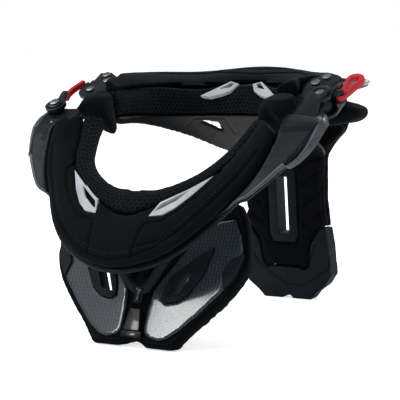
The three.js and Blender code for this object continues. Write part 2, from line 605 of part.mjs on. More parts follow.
// The release lever's pin and ears, on the outer wall of the clevis on the hinge side.
const leverSpot = [15.2, 4];
const eyeRadius = 3.8;
const pinRadius = 1.8;
const leverTop = -clevisPlate - 1;
const earPlate = 2.4;
const earTop = leverTop + gap + earPlate;
const earOutline = [[wallOuter - 1, 0.2], [leverSpot[0], leverSpot[1] - eyeRadius],
  [leverSpot[0] + eyeRadius, leverSpot[1]], [leverSpot[0], leverSpot[1] + eyeRadius],
  [wallOuter - 1, 8]];
const ears = [earTop - earPlate, leverTop - leverWall - gap - earPlate].map((floor) =>
  slab(earOutline, earPlate).translate(0, 0, floor));
const leverPin = hingeCylinder(pinRadius, 2 * earPlate + leverWall + 2 * gap - 0.2, leverSpot,
  earTop - 0.1, 20);
const loopOutline = smoothOutline([[11.6, 2.2], [13, 0.6], [15.2, 0.2], [18.6, 1.4], [20.5, 7], [23, 16],
  [26, 25], [24.5, 32], [19, 35.5], [14, 35], [10.6, 31], [11.6, 23], [12, 15], [11.8, 8]], 36);
const loopHole = smoothOutline([[17.4, 11], [15.8, 17], [15, 24], [15.4, 29.5], [20.4, 30.5], [22, 25],
  [19.6, 18]], 20);
const releaseLoop = cut(slab(loopOutline, leverWall, [loopHole]).translate(0, 0, leverTop - leverWall),
  hingeCylinder(pinRadius + gap, through, leverSpot, through / 2, 20));
const clevisForms = [joined(clevisBody, ...ears, leverPin), clevisBody];
const clevisSolids = sides.map(([, turn], i) =>
  cut(hardware(clevisForms[i], turn), hardware(screwHole, turn)));

// Room for the round end and neck of an arm, from above the top plate to below the bottom one.
const armRoom = hingeBox([-neckReach, wallOuter], [-neckReach, 4], [-clevisDepth - gap, 2 * clevisPlate]);
const barrelRoom = hingeCylinder(barrelRadius + gap, clevisDepth, [0, 0], 0);
const rooms = sides.flatMap(([, turn]) => [hardware(armRoom, turn), hardware(barrelRoom, turn)]);
const clevises = sides.map(([, turn]) => hardware(clevisBody, turn));
const rearFrame = clearOf(cut(joined(trayBase, ...seatPlaces), ...rooms), ...clevises, rearPad,
  rearCollar, hardware(releaseLoop, sides[0][1]));
add('rear_frame', rearFrame, carbon);
add('back_pad', backPad, padCloth);
const backShell = clearOf(joined(backBody(backShellWall, 0), backNeck), rearFrame, rearPad,
  backPad);
add('back_plate', backShell, moulded);
add('back_foot_cap', backCap, rubber);
add('back_window_frame', backFrame, rubber);

const windowPlan = [[0.234, 0.511], [0.258, 0.628], [0.344, 0.456]]
  .map(([x, y]) => [x * halfWidth, y * rearReach]);
const shellWindow = slab(windowPlan, braceHeight).translate(0, 0, 0.5 * braceHeight);
const rearShell = clearOf(cut(alongLoft(rearSections, rearShellLoop), shellWindow,
  mirrored(shellWindow)), rearFrame, rearCollar, rearPad, backPad, backShell);
add('rear_lower_shell', rearShell, moulded);

sides.forEach(([side, turn], i) => {
  add(`clevis_${side}`, clevisSolids[i], moulded);
  flangeScrews.forEach((spot, k) => {
    const screw = hingeCylinder(screwRadius, screwHead, spot, screwHead + gap * 0.75, 20);
    add(`flange_screw_${side}_${k + 1}`, hardware(screw, turn), steel);
  });
});

// Smooth sleeves that close the ends of the rear ring beside the front pad.
const sleeveRows = [
  [[0.555, -0.03, 0.74], [0.566, -0.037, 0.805], [0.594, -0.041, 0.898],
    [0.672, -0.037, 0.939], [0.758, -0.015, 0.91], [0.75, 0, 0.814],
    [0.672, 0, 0.751]],
  [[0.539, -0.09, 0.724], [0.555, -0.127, 0.792], [0.586, -0.142, 0.869],
    [0.664, -0.142, 0.905], [0.75, -0.127, 0.878], [0.742, -0.067, 0.792],
    [0.656, -0.06, 0.738]],
  [[0.531, -0.112, 0.733], [0.547, -0.157, 0.775], [0.578, -0.201, 0.828],
    [0.656, -0.239, 0.855], [0.742, -0.261, 0.828], [0.734, -0.134, 0.769],
    [0.641, -0.105, 0.742]],
];

function softLoop(points, count) {
  return new THREE.CatmullRomCurve3(points, true, 'centripetal').getPoints(count).slice(0, -1);
}

const rearNeighbours = [rearPad, rearCollar, rearFrame, rearShell, ...clevisSolids];
const sleeveSections = sectionsThrough(sleeveRows.map((row) => row.map(at)), 7)
  .map((loop) => softLoop(loop, 14));
const sleeve = clearOf(cut(loft(sleeveSections), ...[frontPad, frontCollar, frameSolid]
  .map((body) => swollen(body, 3 * gap))), ...rearNeighbours);

// Padded lobes under the rear frame, over the shoulders.
const shoulderRows = [
  { across: 0.609, near: 0.267, far: 0.578, bottom: 0.760, top: 0.873 },
  { across: 0.750, near: 0.256, far: 0.578, bottom: 0.760, top: 0.842 },
  { across: 0.859, near: 0.306, far: 0.544, bottom: 0.769, top: 0.833 },
  { across: 0.930, near: 0.389, far: 0.489, bottom: 0.790, top: 0.824 },
];

const shoulderLoops = shoulderRows.map(({ across, near, far, bottom, top }) => {
  const middle = (near + far) / 2;
  return softLoop([[near, bottom * 0.6 + top * 0.4], [near * 0.8 + middle * 0.2, top], [middle, top],
    [far * 0.8 + middle * 0.2, top], [far, bottom * 0.6 + top * 0.4], [far * 0.8 + middle * 0.2, bottom],
    [middle, bottom], [near * 0.8 + middle * 0.2, bottom]].map(([y, z]) => at([across, y, z])), 14);
});
const shoulder = clearOf(loft(sectionsThrough(shoulderLoops, 7)), ...rearNeighbours, sleeve, backPad,
  backShell);

// Bright trim along the outer edge of each arm.
const lipRows = armRows.slice(1);
const lipLoops = lipRows.map(({ inner, edge, out }) => {
  const side = edge.clone().sub(inner).projectOnPlane(out).normalize();
  const start = move(edge, side, gap);
  const end = move(start, side, lipWidth);
  return [start, end, move(end, out, -lipHeight), move(start, out, -lipHeight)];
});
const lip = clearOf(loft(sectionsThrough(lipLoops, 14)), frameSolid);

for (const [side, turn] of sides) {
  add(`rear_sleeve_${side}`, turn(sleeve), padCloth);
  add(`shoulder_pad_${side}`, turn(shoulder), padCloth);
}
add('arm_lip_left', lip, silver);
add('arm_lip_right', cut(mirrored(lip), mirrored(knobSeat)), silver);

// Centre buckle and foot bar, on the chest backing between the plates.
const buckleOutline = onPlate([[-0.05, 0.23], [0.05, 0.23], [0.082, 0.102], [-0.082, 0.102]]);
add('chest_buckle', slab(buckleOutline, 5).applyMatrix4(chestPlace), moulded);
const footBar = slab(onPlate([[-0.1, 0.065], [0.1, 0.065], [0.1, 0.098], [-0.1, 0.098]]), 4);
add('chest_foot_bar', footBar.applyMatrix4(chestPlace), steel);

// Screws of the hinge side and of the latch side.
const screwLift = screwHead + gap * 0.75;
const hingeScrew = joined(hingeCylinder(screwRadius, screwHead, [0, 0], screwLift, 24),
  hingeCylinder(screwRadius * 0.6, clevisDepth + screwLift, [0, 0], screwLift - 0.1, 20));
const capScrew = joined(hingeCylinder(screwRadius, screwHead, [0, 0], screwLift, 24),
  hingeCylinder(screwRadius * 0.6, clevisPlate + screwLift - 0.2, [0, 0], screwLift - 0.1, 20));
add('hinge_screw', hardware(hingeScrew, sides[0][1]), steel);
add('cap_screw', hardware(capScrew, sides[1][1]), steel);

// Latch lever on the wearer's right arm: knob, link and red band turn together on the knob.
const linkHeight = 3.4;
const bandHeight = 4.6;
const eyeWall = 2.2;
const knob = hingeCylinder(knobRadius, knobTop + 6, knobSpot, knobTop, 28);
const ring = hingeCylinder(knobRadius * 0.62, 1, knobSpot, knobTop + 1 + gap, 20);
const eye = hingeCylinder(knobRadius + gap + eyeWall, linkHeight, knobSpot, linkFloor + linkHeight + 2, 28);
const linkOutline = [[10.5, -29.5], [16.5, -29.5], [20, -15], [20, -11], [15.4, -11], [14.6, -15]];
const link = cut(joined(slab(linkOutline, linkHeight).translate(0, 0, linkFloor), eye),
  hingeCylinder(knobRadius + gap, through, knobSpot, through / 2, 28));
const bandLine = rounded([[17, -14.5], [18.6, -8], [18, -1], [15.6, 6], [13.5, 12]]
  .map(([x, y]) => new THREE.Vector3(x, y, 0)), 14);
const bandWidth = 3.4;
const bandSide = (offset) => bandLine.map((p, i) => {
  const along = bandLine[Math.min(i + 1, bandLine.length - 1)].clone()
    .sub(bandLine[Math.max(i - 1, 0)]).normalize();
  return [p.x + along.y * offset, p.y - along.x * offset];
});
const bandOutline = [...bandSide(bandWidth / 2), ...bandSide(-bandWidth / 2).reverse()];
const band = slab(bandOutline, bandHeight).translate(0, 0, linkFloor - gap - bandHeight);
add('latch_knob', hardware(knob, sides[1][1]), moulded);
add('latch_ring', hardware(ring, sides[1][1]), steel);
add('latch_link', hardware(link, sides[1][1]), moulded);
add('latch_band', hardware(band, sides[1][1]), redPlastic);

// Release lever: a red loop on a pin between two ears of the hinge clevis.
add('release_loop', hardware(releaseLoop, sides[0][1]), redPlastic);

// The origin is on the floor, below the middle of the brace.
const middle = new THREE.Box3().setFromObject(brace).getCenter(new THREE.Vector3());
brace.position.set(0, -middle.y, 0);

export default brace;
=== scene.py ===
import json
import math

import bmesh
import bpy
from mathutils import Matrix, Vector
from mathutils.bvhtree import BVHTree
from mathutils.kdtree import KDTree


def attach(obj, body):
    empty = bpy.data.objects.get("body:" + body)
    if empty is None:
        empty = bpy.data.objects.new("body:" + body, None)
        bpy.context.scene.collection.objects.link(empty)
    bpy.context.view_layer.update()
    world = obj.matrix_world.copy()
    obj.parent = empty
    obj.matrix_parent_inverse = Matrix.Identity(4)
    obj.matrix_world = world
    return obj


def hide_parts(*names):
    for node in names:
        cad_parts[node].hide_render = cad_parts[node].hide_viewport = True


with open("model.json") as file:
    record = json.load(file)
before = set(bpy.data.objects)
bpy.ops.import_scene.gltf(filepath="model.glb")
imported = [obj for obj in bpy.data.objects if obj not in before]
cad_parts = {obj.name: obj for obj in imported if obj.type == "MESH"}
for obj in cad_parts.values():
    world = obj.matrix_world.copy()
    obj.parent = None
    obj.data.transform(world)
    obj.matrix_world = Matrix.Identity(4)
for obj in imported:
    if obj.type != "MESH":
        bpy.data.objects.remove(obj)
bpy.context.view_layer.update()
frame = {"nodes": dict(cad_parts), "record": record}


# Camera: a long lens from the wearer's front left, a little above the ring, as the photo was taken.
scene = bpy.context.scene
camera = bpy.data.objects.new("camera", bpy.data.cameras.new("camera"))
eye = Vector((0.6972, -1.1852, 0.2559))
look = Vector((-0.5127, 0.8532, -0.0958)).normalized()
camera.matrix_world = (Matrix.Translation(eye) @ look.to_track_quat("-Z", "Y").to_matrix().to_4x4()
                       @ Matrix.Rotation(math.radians(-0.7), 4, "Z"))
camera.data.sensor_width = 36.0
camera.data.lens = 147.6
camera.data.shift_x = 0.015
camera.data.shift_y = -0.055
scene.collection.objects.link(camera)
scene.camera = camera


# Studio: a white paper sweep under a soft ceiling, with a large soft box on either side and one
# behind. Two small boxes stand where the chest plates mirror them: the gleam in the left plate
# and the faint sheen in the right one. Angles are degrees round from the front and up.
def linear(code):
    """The linear colour of an sRGB hex code."""
    parts = [int(code[i:i + 2], 16) / 255 for i in (1, 3, 5)]
    return [p / 12.92 if p <= 0.04045 else ((p + 0.055) / 1.055) ** 2.4 for p in parts] + [1.0]


def add(tree, kind, feeds=None, **settings):
    """Adds a node to a material, with its settings, and links or sets its inputs."""
    node = tree.nodes.new(kind)
    for key, value in settings.items():
        setattr(node, key, value)
    for socket, source in (feeds or {}).items():
        if isinstance(source, bpy.types.NodeSocket):
            tree.links.new(source, node.inputs[socket])
        else:
            node.inputs[socket].default_value = source
    return node


# The room is white to the camera and dim to the brace, so that its black stays black.
world = bpy.data.worlds.new("studio")
world.use_nodes = True
ray = add(world.node_tree, "ShaderNodeLightPath").outputs["Is Camera Ray"]
glow = add(world.node_tree, "ShaderNodeMapRange", {"Value": ray, "To Min": 0.26, "To Max": 1.0})
world.node_tree.links.new(glow.outputs["Result"],
                          world.node_tree.nodes["Background"].inputs["Strength"])
world.node_tree.nodes["Background"].inputs["Color"].default_value = (1, 1, 1, 1)
scene.world = world
scene.view_settings.view_transform = "Standard"

ring_middle, left_plate, right_plate = (0, 0, 0.1), (0.05, -0.108, 0.045), (-0.05, -0.108, 0.045)
for name, aim, azimuth, elevation, distance, width, height, power in (
        ("key", ring_middle, -75, 48, 1.3, 0.7, 0.7, 4),
        ("fill", ring_middle, 80, 30, 1.5, 0.8, 0.8, 3),
        ("strip", ring_middle, 175, 35, 1.4, 1.0, 0.5, 9),
        ("plate_gleam", left_plate, -34.2, 26.5, 1.5, 0.215, 0.25, 4.0),
        ("plate_sheen", right_plate, -41.5, 29, 1.5, 0.2, 0.4, 0.25)):
    lamp = bpy.data.lights.new(name, "AREA")
    lamp.shape = "RECTANGLE"
    lamp.size, lamp.size_y, lamp.energy = width, height, power
    holder = bpy.data.objects.new(name, lamp)
    a, e = math.radians(azimuth), math.radians(elevation)
    place = Vector((math.sin(a) * math.cos(e), -math.cos(a) * math.cos(e), math.sin(e))) * distance
    holder.location = place + Vector(aim)
    holder.rotation_euler = (-place).to_track_quat("-Z", "Y").to_euler()
    scene.collection.objects.link(holder)

ceiling = bpy.data.objects.new("ceiling", bpy.data.lights.new("ceiling", "SUN"))
ceiling.data.energy, ceiling.data.angle = 1.2, math.radians(50)
ceiling.rotation_euler = (math.radians(24), math.radians(-18), 0)
scene.collection.objects.link(ceiling)

paper = bpy.data.materials.new("white_paper_sweep")
paper.use_nodes = True
shader = paper.node_tree.nodes["Principled BSDF"]
shader.inputs["Base Color"].default_value = linear("#FFFFFF")
shader.inputs["Emission Color"].default_value = linear("#FFFFFF")
shader.inputs["Roughness"].default_value = 0.9
seen = add(paper.node_tree, "ShaderNodeLightPath").outputs["Is Camera Ray"]
lift = add(paper.node_tree, "ShaderNodeMath", {0: seen, 1: 0.62}, operation="MULTIPLY")
paper.node_tree.links.new(lift.outputs[0], shader.inputs["Emission Strength"])
sweep = bmesh.new()
bmesh.ops.create_grid(sweep, x_segments=2, y_segments=2, size=6.0)
floor = bpy.data.objects.new("floor", bpy.data.meshes.new("floor"))
sweep.to_mesh(floor.data)
sweep.free()
floor.data.materials.append(paper)
scene.collection.objects.link(floor)


# Pads: the front, rear, back, shoulder and chest pads are closed-cell foam under a matt knitted
# polyester, moulded so that the cloth swells between its seams. Black, with a faint bloom of grey.
MM = 0.001


def cloth_material(name, deep, raised, loop, sheen, bump):
    """Knitted cloth: rows of loops drawn at the given pitch, cloudy wear, a soft sheen and painted
    shade in pressed seams.
    """
    material = bpy.data.materials.new(name)
    material.use_nodes = True
    tree = material.node_tree
    shader = tree.nodes["Principled BSDF"]
    shader.inputs["Roughness"].default_value = 0.88
    shader.inputs["Sheen Weight"].default_value = sheen
    shader.inputs["Sheen Roughness"].default_value = 0.55
    shader.inputs["Sheen Tint"].default_value = linear("#A9B4C4")
    shader.inputs["Specular IOR Level"].default_value = 0.08
    place = add(tree, "ShaderNodeTexCoord").outputs["Object"]
    loops = add(tree, "ShaderNodeTexVoronoi", {"Vector": place, "Scale": 1 / (loop * MM),
                                               "Randomness": 0.55})
    clouds = add(tree, "ShaderNodeTexNoise", {"Vector": place, "Scale": 38.0, "Detail": 5.0})
    fuzz = add(tree, "ShaderNodeTexNoise", {"Vector": place, "Scale": 2600.0, "Detail": 2.0})
    depth = add(tree, "ShaderNodeMath", {0: loops.outputs["Distance"], 1: fuzz.outputs["Fac"]},
                operation="MULTIPLY_ADD")
    depth.inputs[2].default_value = 0.1
    shade = add(tree, "ShaderNodeMath", {0: depth.outputs[0], 1: clouds.outputs["Fac"]},
                operation="MULTIPLY")
    ramp = add(tree, "ShaderNodeValToRGB", {"Fac": shade.outputs[0]})
    ramp.color_ramp.elements[0].color = linear(deep)
    ramp.color_ramp.elements[0].position = 0.05
    ramp.color_ramp.elements[1].color = linear(raised)
    ramp.color_ramp.elements[1].position = 0.42
    relief = add(tree, "ShaderNodeBump", {"Height": depth.outputs[0], "Strength": bump,
                                          "Distance": 0.0004})
    # Painted shade: the pressed seams are darkened towards near black, standing in for the shade in
    # their grooves.
    painted_seam_shade = add(tree, "ShaderNodeAttribute", attribute_name="painted_seam_shade").outputs["Fac"]
    shadow = add(tree, "ShaderNodeMix", {0: painted_seam_shade, 7: linear("#020203")}, data_type="RGBA")
    tree.links.new(ramp.outputs["Color"], shadow.inputs[6])
    tree.links.new(shadow.outputs[2], shader.inputs["Base Color"])
    tree.links.new(relief.outputs["Normal"], shader.inputs["Normal"])
    return material


# A 0.6 mm knit drawn at 1.1 mm, so that its grain shows.
padding_knit = cloth_material("matt_polyester_knit", "#040506", "#0D1014", 1.1, 0.04, 0.5)


def copy_of(node):
    """The node's mesh in a new object, with its loose triangles joined."""
    source = frame["nodes"][node]
    piece = bpy.data.objects.new("dressed_" + node, source.data.copy())
    piece.data.transform(source.matrix_world)
    scene.collection.objects.link(piece)
    mesh = bmesh.new()
    mesh.from_mesh(piece.data)
    bmesh.ops.remove_doubles(mesh, verts=mesh.verts, dist=0.02 * MM)
    mesh.to_mesh(piece.data)
    mesh.free()
    piece.data.materials.clear()
    return piece


def settled(thing):
    """A new mesh of the object as its modifiers or its curve make it."""
    return bpy.data.meshes.new_from_object(
        thing.evaluated_get(bpy.context.evaluated_depsgraph_get()))


def apply_modifiers(piece):
    """Bakes the piece's modifiers into its mesh."""
    shape = settled(piece)
    piece.modifiers.clear()
    piece.data = shape


def remeshed(piece, voxel, rounds=2):
    """Gives the piece an even skin of quads and takes the facets out of it."""
    skin = piece.modifiers.new("skin", "REMESH")
    skin.mode, skin.voxel_size = "VOXEL", voxel * MM
    apply_modifiers(piece)
    mesh = bmesh.new()
    mesh.from_mesh(piece.data)
    for _ in range(rounds):
        bmesh.ops.smooth_vert(mesh, verts=mesh.verts, factor=0.5, use_axis_x=True,
                              use_axis_y=True, use_axis_z=True)
    for face in mesh.faces:
        face.smooth = True
    mesh.to_mesh(piece.data)
    mesh.free()


def swell(piece, cap, shrink=0.4):
    """Blows the foam up under its cloth: a short Cloth run, with each point's travel capped."""
    mesh = bmesh.new()
    mesh.from_mesh(piece.data)
    for vert in mesh.verts:
        vert.co -= vert.normal * shrink * MM
    mesh.to_mesh(piece.data)
    mesh.free()
    start = [vert.co.copy() for vert in piece.data.vertices]
    cloth = piece.modifiers.new("foam", "CLOTH")
    cloth.settings.use_pressure = True
    cloth.settings.uniform_pressure_force = 4.0
    cloth.settings.effector_weights.gravity = 0
    cloth.settings.quality = 4
    last = 20
    cloth.point_cache.frame_start, cloth.point_cache.frame_end = 1, last
    for step in range(1, last + 1):
        scene.frame_set(step)
    apply_modifiers(piece)
    scene.frame_set(1)
    for vert, origin in zip(piece.data.vertices, start):
        travel = vert.co - origin
        if travel.length > cap * MM:
            vert.co = origin + travel.normalized() * cap * MM


def subdivided(piece):
    """Divides the skin once, so that seams can be pressed into it."""
    finer = piece.modifiers.new("finer", "SUBSURF")
    finer.levels = finer.render_levels = 1
    apply_modifiers(piece)
    piece.data.shade_smooth()


def both(lines):
    """Lines in mm, with their mirror images across the middle of the brace."""
    return lines + [[(-x, y, z) for x, y, z in line] for line in lines]


def laid(piece, line, step=0.8):
    """A line in mm laid on the piece's skin, as points and normals a step apart."""
    tree = BVHTree.FromPolygons([v.co for v in piece.data.vertices],
                                [p.vertices for p in piece.data.polygons])
    corners = [Vector(point) * MM for point in line]
    found = []
    for a, b in zip(corners, corners[1:]):
        count = max(1, round((b - a).length / (step * MM)))
        for i in range(count + (b is corners[-1])):
            hit, normal = tree.find_nearest(a.lerp(b, i / count))[:2]
            found.append((hit, normal))
    return found


def press(piece, lines, depth, width):
    """Presses seams into a piece along lines on its skin, and paints shade into them: its material
    darkens the grooves towards near black.
    """
    spots = [spot for line in lines for spot in laid(piece, line)]
    near = KDTree(len(spots))
    for i, (point, _) in enumerate(spots):
        near.insert(point, i)
    near.balance()
    mesh = bmesh.new()
    mesh.from_mesh(piece.data)
    mesh.normal_update()
    # Painted shade: each point's share of a pressed seam is kept here, and its material darkens it
    # towards near black, as shade in the groove.
    dark = mesh.verts.layers.float.get("painted_seam_shade") or mesh.verts.layers.float.new("painted_seam_shade")
    moves = []
    for vert in mesh.verts:
        point, index, reach = near.find(vert.co)
        if reach < 3 * width * MM and vert.normal.dot(spots[index][1]) > 0.2:
            share = math.exp(-(reach / (width * MM)) ** 2)
            moves.append((vert, vert.normal * depth * MM * share))
            vert[dark] = max(vert[dark], 0.75 * share)
    for vert, move in moves:
        vert.co -= move
    mesh.to_mesh(piece.data)
    mesh.free()


body_of_node = {node: body for body, nodes in frame["record"]["behaviour"]["bodies"].items()
                for node in nodes}


def rides(piece, node):
    """The piece stands for the node, on the node's body."""
    piece["body"] = body_of_node[node]
    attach(piece, piece["body"])
    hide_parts(node)


# The skin's pitch, how far the cloth may swell and how far it starts inside the foam, all in mm.
for node, voxel, cap, shrink, rounds in (
        ("front_pad", 2.4, 1.6, 0.4, 3), ("rear_pad", 2.6, 1.6, 0.4, 3),
        ("back_pad", 2.4, 1.2, -0.2, 1), ("shoulder_pad_left", 2.4, 1.5, 0.4, 3),
        ("shoulder_pad_right", 2.4, 1.5, 0.4, 3), ("chest_backing", 2.2, 0.8, 0.2, 2)):
    pad = copy_of(node)
    remeshed(pad, voxel, rounds)
    swell(pad, cap, shrink)
    subdivided(pad)
    pad.data.materials.append(padding_knit)
    rides(pad, node)


# Front pad seams: sewn panels beside the silver inserts and at the chin, and a border inside the
# pad's edge. The lines were measured from the collar's centre, which lies ahead of the middle.
collar_ahead = 24.834


def shifted(line):
    """A line measured from the collar's centre, moved back to the middle of the brace."""
    return [(x, y - collar_ahead, z) for x, y, z in line]


front_pad = bpy.data.objects["dressed_front_pad"]
insert_panel = shifted([(69.7, -72.1, 141.1), (70.5, -82.1, 136.4), (62.6, -93.1, 125.6),
                        (50.4, -104.6, 112.9), (37.5, -112, 103.4), (25, -113.5, 101.7)])
chin_panel = shifted([(23.9, -113.8, 101.4), (21.4, -120, 92.9), (20.6, -125.1, 84.1),
                      (20.2, -128.3, 76.7)])
lower_panel = shifted([(52.1, -115.7, 97.2), (40.8, -120.7, 89.9), (28.4, -123.4, 86.4),
                       (20.2, -124.4, 85.6)])
front_border = shifted([(96, -66.3, 156.5), (87, -81.5, 138), (75, -96, 120.8), (63, -108, 106.4),
                        (53, -115.5, 96.5), (38, -122.7, 85), (20, -127.8, 78), (6, -129.8, 75),
                        (0, -130, 75)])
press(front_pad, both([insert_panel, chin_panel, lower_panel]), 1.5, 1.2)
press(front_pad, both([front_border]), 1.3, 1.1)


# Back and rear pads: the back pad is quilted with slanting channels on either side of its slot, and
# a raised roll runs down its edges. The rear pad has two sewn channels along its top.
back_pad = bpy.data.objects["dressed_back_pad"]
rear_pad = bpy.data.objects["dressed_rear_pad"]
chevrons = [shifted(line) for line in (
    [(20, 153.8, 122.2), (30, 153.2, 129.8), (44, 153, 133)],
    [(21.9, 155.1, 107.7), (35.2, 154.2, 117.7), (47, 154, 121)],
    [(22.4, 156.8, 88.5), (36.8, 155.8, 99.6), (46, 156, 103)],
    [(21, 158, 70), (33, 157, 79), (42, 157, 82)])]
press(back_pad, both(chevrons), 1.3, 2.0)
roll = shifted([(52, 152, 148), (45, 155, 138), (40.5, 157, 122), (40, 158, 104), (40.2, 160, 84),
                (41, 162, 70)])
press(back_pad, both([roll]), 1.4, 1.3)
rear_channels = [shifted([(-39.8, 110.5, 208.6), (-21.4, 108.2, 208.1), (0, 104.3, 207.6),
                          (21.4, 108.2, 208.1), (39.8, 110.5, 208.6), (62, 96, 209),
                          (80, 74, 208)]),
                 shifted([(-30, 119.5, 211.5), (-15.9, 118.3, 211.7), (0, 115.8, 211.1),
                          (15.9, 118.3, 211.7), (30, 119.5, 211.5)])]
press(rear_pad, rear_channels, 1.2, 1.4)
press(rear_pad, [[(-x, y, z) for x, y, z in rear_channels[0][-3:]]], 1.2, 1.4)


# Stitching: a lockstitch of bonded grey thread, in stitches 2.3 mm long, runs inside the border of
# the front pad.
def stitches(name, carrier, lines, material, pitch=3.4, length=2.3, radius=0.32):
    """Rows of single stitches laid on a pad, each a short rounded thread."""
    thread = bmesh.new()
    for line in lines:
        row = laid(carrier, line, pitch)
        for (a, normal), (b, _) in zip(row, row[1:]):
            along = (b - a).normalized()
            side = normal.cross(along).normalized()
            place = Matrix((along, side, along.cross(side))).transposed().to_4x4()
            place.translation = a + normal * 0.12 * MM
            size = Matrix.Diagonal((length / 2 * MM, radius * MM, radius * MM, 1))
            bmesh.ops.create_icosphere(thread, subdivisions=1, radius=1.0, matrix=place @ size)
    piece = bpy.data.objects.new(name, bpy.data.meshes.new(name))
    thread.to_mesh(piece.data)
    thread.free()
    piece.data.shade_smooth()
    piece.data.materials.append(material)
    scene.collection.objects.link(piece)
    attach(piece, carrier["body"])


thread = cloth_material("bonded_nylon_thread", "#14181E", "#333A44", 0.5, 0.1, 0.2)
border_row = shifted([(92, -64.5, 157.5), (83.5, -79.5, 139.5), (72, -93.3, 122.8),
                      (60.5, -105, 108.5), (51, -112.5, 98.8), (37, -119.6, 88),
                      (20, -124.6, 81.5), (6, -126.6, 78.5), (0, -126.8, 78.4)])
stitches("front_pad_stitches", front_pad, both([border_row]), thread)


# Chest backing: bound round its edge, with a sewn channel 4 mm in and a row of stitches beside it.
chest_foam = bpy.data.objects["dressed_chest_backing"]
chest_border = [(7, -121.5, 8.5), (14, -123.2, 4.6), (34, -123, 4), (38, -122, 6), (47, -117.5, 17),
                (59, -112.5, 28.5), (70.5, -107.5, 39.8), (78, -103.5, 49), (83.8, -99.3, 57.8),
                (86.5, -96, 65), (86.5, -92, 72.5), (83, -86, 86), (77.8, -80, 99.8),
                (71, -76.5, 109.5)]
press(chest_foam, both([chest_border]), 0.8, 1.0)
inner_border = [(x * 0.975 - 0.5, y, z * 0.985 + 1.6) for x, y, z in chest_border]
stitches("chest_stitches", chest_foam, both([inner_border]), thread)


# Collars: the rolls round the neck are a thick spacer mesh, sewn to the pads, which lets sweat out.
# Its honeycomb holes, 3.7 mm apart, are black between grey strands.
spacer = cloth_material("honeycomb_spacer_mesh", "#07090C", "#333B46", 1.0, 0.05, 0.3)


def honeycomb(material, pitch, open_share):
    """Draws rows of round holes on the material, from the piece's weave attribute in mm."""
    tree = material.node_tree
    shader = tree.nodes["Principled BSDF"]
    cloth = shader.inputs["Base Color"].links[0].from_socket
    place = add(tree, "ShaderNodeAttribute", attribute_name="weave").outputs["Vector"]
    cell = Vector((pitch, pitch * math.sqrt(3), 1))
    gaps = []
    for offset in (0.0, 0.5):
        grid = add(tree, "ShaderNodeVectorMath", {0: place, 1: [1 / c for c in cell],
                                                  2: [offset, offset, 0]}, operation="MULTIPLY_ADD")
        inside = add(tree, "ShaderNodeVectorMath", {0: grid.outputs[0]}, operation="FRACTION")
        centred = add(tree, "ShaderNodeVectorMath", {0: inside.outputs[0], 1: (0.5, 0.5, 0)},
                      operation="SUBTRACT")
        sized = add(tree, "ShaderNodeVectorMath", {0: centred.outputs[0], 1: (cell.x, cell.y, 0)},
                    operation="MULTIPLY")
        gaps.append(add(tree, "ShaderNodeVectorMath", {0: sized.outputs[0]}, operation="LENGTH"))
    nearest = add(tree, "ShaderNodeMath", {0: gaps[0].outputs["Value"], 1: gaps[1].outputs["Value"]},
                  operation="MINIMUM")
    wall = add(tree, "ShaderNodeMapRange", {"Value": nearest.outputs[0],
                                            "From Min": pitch * open_share * 0.35,
                                            "From Max": pitch * open_share * 0.62})
    holes = add(tree, "ShaderNodeMix", {"Factor": wall.outputs["Result"]}, data_type="RGBA")
    holes.inputs[6].default_value = linear("#030405")
    tree.links.new(cloth, holes.inputs[7])
    relief = add(tree, "ShaderNodeBump", {"Height": wall.outputs["Result"], "Strength": 0.9,
                                          "Distance": 0.0012,
                                          "Normal": shader.inputs["Normal"].links[0].from_socket})
    tree.links.new(holes.outputs[2], shader.inputs["Base Color"])
    tree.links.new(relief.outputs["Normal"], shader.inputs["Normal"])


honeycomb(spacer, 3.7, 1.0)


def lay_weave(piece, crest, centre_y):
    """Sets the weave attribute: mm round the neck, and mm down either side of the crest line."""
    middle = sum(math.hypot(x, y - centre_y) for x, y, _ in crest) / len(crest)
    rows = sorted((math.atan2(x, y - centre_y), math.hypot(x, y - centre_y), z)
                  for x, y, z in crest)
    values = []
    for vert in piece.data.vertices:
        x, y, z = vert.co / MM
        turn, reach = math.atan2(x, y - centre_y), math.hypot(x, y - centre_y)
        after = next((row for row in rows if row[0] >= turn), rows[-1])
        before = rows[max(rows.index(after) - 1, 0)]
        share = 0
        if after is not before:
            share = max(0, min(1, (turn - before[0]) / (after[0] - before[0])))
        out = reach - (before[1] + share * (after[1] - before[1]))
        up = z - (before[2] + share * (after[2] - before[2]))
        values += [turn * middle, math.hypot(out, up) * (1 if out > -0.35 * up else -1), 0]
    piece.data.attributes.new("weave", "FLOAT_VECTOR", "POINT").data.foreach_set("vector", values)


front_crest = [(0, 111.8, 125.5), (22, 109.3, 127.5), (44, 98.8, 136), (57, 86.8, 146),
               (64, 73.8, 156), (69, 60.8, 167.5), (71, 50.8, 176.5)]
rear_crest = [(0, 62.2, 199.5), (41, 53.2, 195.5), (66, 28.2, 198.5), (76, -5.8, 199),
              (76, -27.8, 198.5)]
for node, crest, side, neck_y in (("front_collar", front_crest, -1, -collar_ahead),
                                  ("rear_collar", rear_crest, 1, -30)):
    collar = copy_of(node)
    remeshed(collar, 2.2, 3)
    swell(collar, 1.4)
    subdivided(collar)
    crest = [(x, side * y, z) for x, y, z in crest]
    lay_weave(collar, crest + [(-x, y, z) for x, y, z in crest if x], neck_y)
    collar.data.materials.append(spacer)
    rides(collar, node)


# Sleeves: short tubes of stretch knit over the rear frame's arms, which keep the neck off the
# hinges. They are sewn to the rear collar.
stretch_knit = cloth_material("stretch_knit", "#040506", "#0C0F13", 0.9, 0.04, 0.35)
for side in ("left", "right"):
    sleeve = copy_of("rear_sleeve_" + side)
    remeshed(sleeve, 2.2, 6)
    for vert in sleeve.data.vertices:
        vert.co.z -= max(0, vert.co.z - 193 * MM) * 0.6
    swell(sleeve, 1.2)
    subdivided(sleeve)
    sleeve.data.materials.append(stretch_knit)
    rides(sleeve, "rear_sleeve_" + side)


